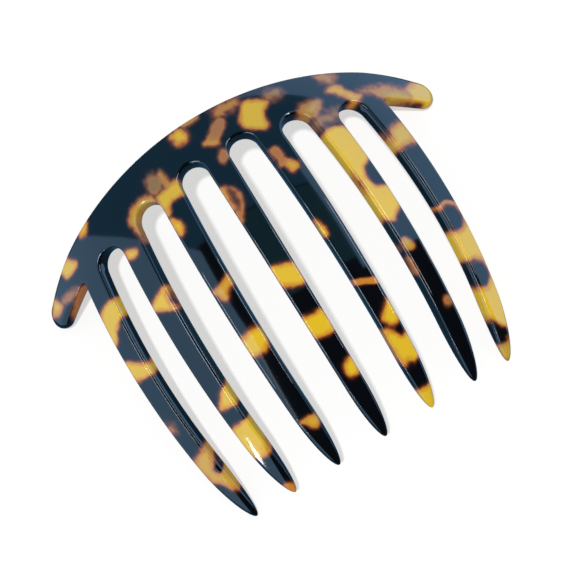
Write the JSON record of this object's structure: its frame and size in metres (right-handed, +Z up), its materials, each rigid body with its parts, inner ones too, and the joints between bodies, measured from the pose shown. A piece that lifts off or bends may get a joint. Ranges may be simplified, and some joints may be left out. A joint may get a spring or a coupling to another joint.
{
  "type": "hair comb",
  "caption": "Domed decorative hair comb in polished tortoiseshell acetate: a crescent back with two short horns and long tapering teeth.",
  "frame": {"origin": "centre of the comb's box, on the surface that it lies on", "axes": "+X across the comb, towards the horn on the right when the teeth point towards the viewer; +Y from the tips towards the back; +Z up, out of the dome"},
  "size_m": [0.1178, 0.094, 0.0304],
  "materials": {
    "acetate": "polished tortoiseshell"
  },
  "bodies": {
    "back": {"back": "acetate"},
    "tooth_1": {"tooth_1": "acetate"},
    "tooth_2": {"tooth_2": "acetate"},
    "tooth_3": {"tooth_3": "acetate"},
    "tooth_4": {"tooth_4": "acetate"},
    "tooth_5": {"tooth_5": "acetate"},
    "tooth_6": {"tooth_6": "acetate"},
    "tooth_7": {"tooth_7": "acetate"}
  },
  "joints": [
    {"name": "tooth_1_flex", "type": "hinge", "parent": "back", "child": "tooth_1", "pos_m": [-0.04213, 0.02568, 0.01496], "axis": [0.8245, -0.0699, 0.5616], "range_deg": [-5, 5], "stiffness_Nm_per_rad": 2.2},
    {"name": "tooth_2_flex", "type": "hinge", "parent": "back", "child": "tooth_2", "pos_m": [-0.02902, 0.02522, 0.02203], "axis": [0.9207, -0.0482, 0.3874], "range_deg": [-5, 5], "stiffness_Nm_per_rad": 2.2},
    {"name": "tooth_3_flex", "type": "hinge", "parent": "back", "child": "tooth_3", "pos_m": [-0.0146, 0.02904, 0.02591], "axis": [0.98, -0.0246, 0.1977], "range_deg": [-5, 5], "stiffness_Nm_per_rad": 2.2},
    {"name": "tooth_4_flex", "type": "hinge", "parent": "back", "child": "tooth_4", "pos_m": [0, 0.03143, 0.02698], "axis": [1, 0, 0], "range_deg": [-5, 5], "stiffness_Nm_per_rad": 2.2},
    {"name": "tooth_5_flex", "type": "hinge", "parent": "back", "child": "tooth_5", "pos_m": [0.0146, 0.02904, 0.02591], "axis": [0.98, 0.0246, -0.1977], "range_deg": [-5, 5], "stiffness_Nm_per_rad": 2.2},
    {"name": "tooth_6_flex", "type": "hinge", "parent": "back", "child": "tooth_6", "pos_m": [0.02902, 0.02522, 0.02203], "axis": [0.9207, 0.0482, -0.3874], "range_deg": [-5, 5], "stiffness_Nm_per_rad": 2.2},
    {"name": "tooth_7_flex", "type": "hinge", "parent": "back", "child": "tooth_7", "pos_m": [0.04213, 0.02568, 0.01496], "axis": [0.8245, 0.0699, -0.5616], "range_deg": [-5, 5], "stiffness_Nm_per_rad": 2.2}
  ]
}
